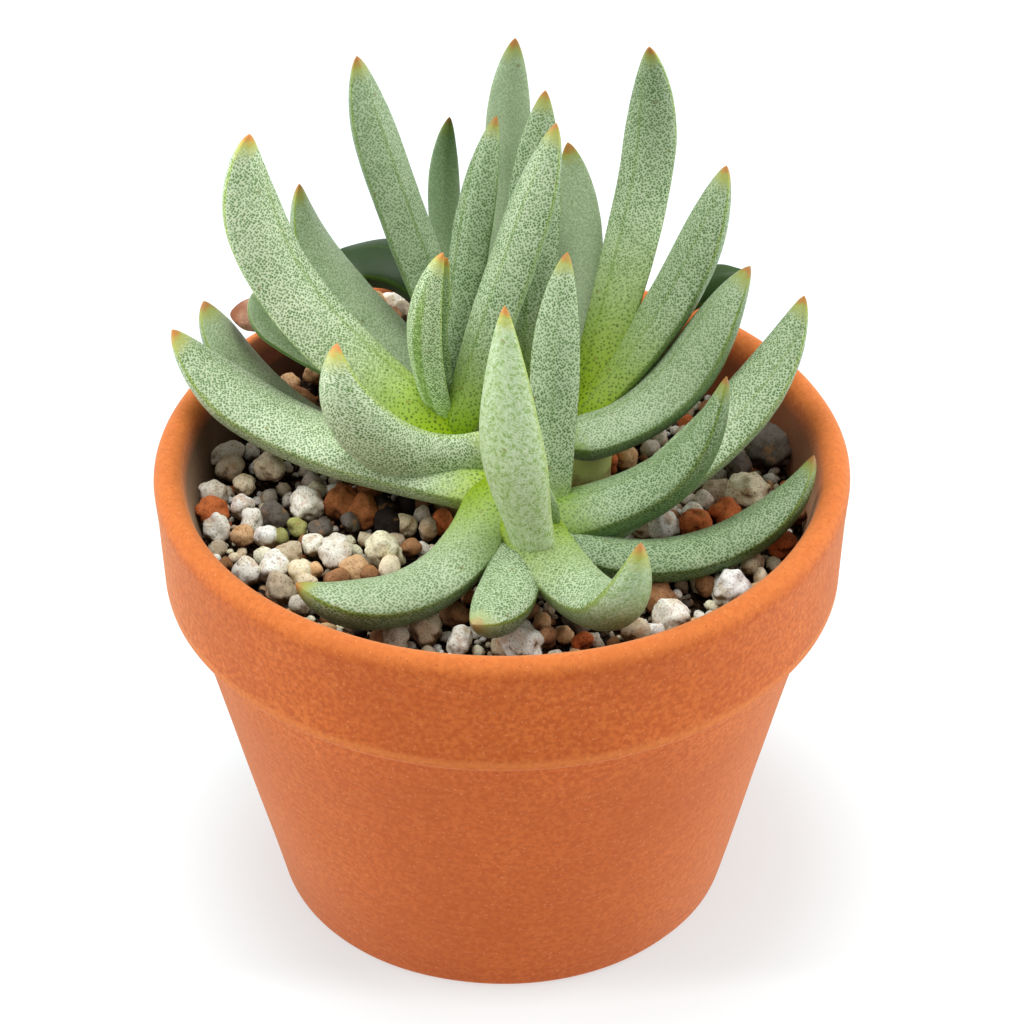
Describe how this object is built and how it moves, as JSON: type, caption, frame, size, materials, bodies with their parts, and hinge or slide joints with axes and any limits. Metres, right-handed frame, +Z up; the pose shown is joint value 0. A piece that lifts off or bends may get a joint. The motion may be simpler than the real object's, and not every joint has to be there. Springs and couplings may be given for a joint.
{
  "type": "potted succulent",
  "caption": "Potted succulent: a clump of long pointed fleshy dotted leaves in gritty soil, in a plain terracotta pot with a straight collar.",
  "frame": {"origin": "centre of the pot's flat base, on the surface it stands on", "axes": "+Z up, -Y towards the front, where the hooked front leaf is, +X to the right seen from the front"},
  "size_m": [0.104, 0.104, 0.125],
  "materials": {
    "terracotta": "matte fired clay",
    "soil": "rough mixed grit on dark soil",
    "stem": "soft waxy",
    "leaf": "waxy, dotted",
    "young_leaf": "waxy, dotted",
    "dark_leaf": "smooth, waxy",
    "dry_leaf": "dry, papery"
  },
  "bodies": {
    "root": {"pot": "terracotta", "soil_and_grit": "soil", "leaf_front_upright": "leaf", "leaf_front_hooked": "leaf", "leaf_front_inner": "leaf", "leaf_front_to_right": "leaf", "leaf_front_short": "leaf", "leaf_front_low_left": "leaf", "leaf_right_lowest": "leaf", "leaf_right_low": "leaf", "young_leaf_front": "young_leaf", "leaf_centre_long": "leaf", "leaf_left_broad": "leaf", "young_leaf_outer": "young_leaf", "young_leaf_inner": "young_leaf", "leaf_left_hooked": "leaf", "leaf_left_long": "leaf", "leaf_left_low": "leaf", "leaf_left_back_low": "leaf", "leaf_back_middle": "leaf", "leaf_back_left_tall": "leaf", "leaf_back_centre": "leaf", "leaf_left_second": "leaf", "leaf_back_tallest": "leaf", "leaf_back_small": "leaf", "leaf_back_left_dark": "dark_leaf", "leaf_right_tall": "leaf", "leaf_right_broad": "leaf", "leaf_right_middle": "leaf", "leaf_back_right_short": "leaf", "leaf_back_right_dark": "dark_leaf", "old_dry_leaf": "dry_leaf", "stem_left": "stem", "stem_front": "stem", "stem_right": "stem", "stem_back": "stem"}
  },
  "joints": []
}
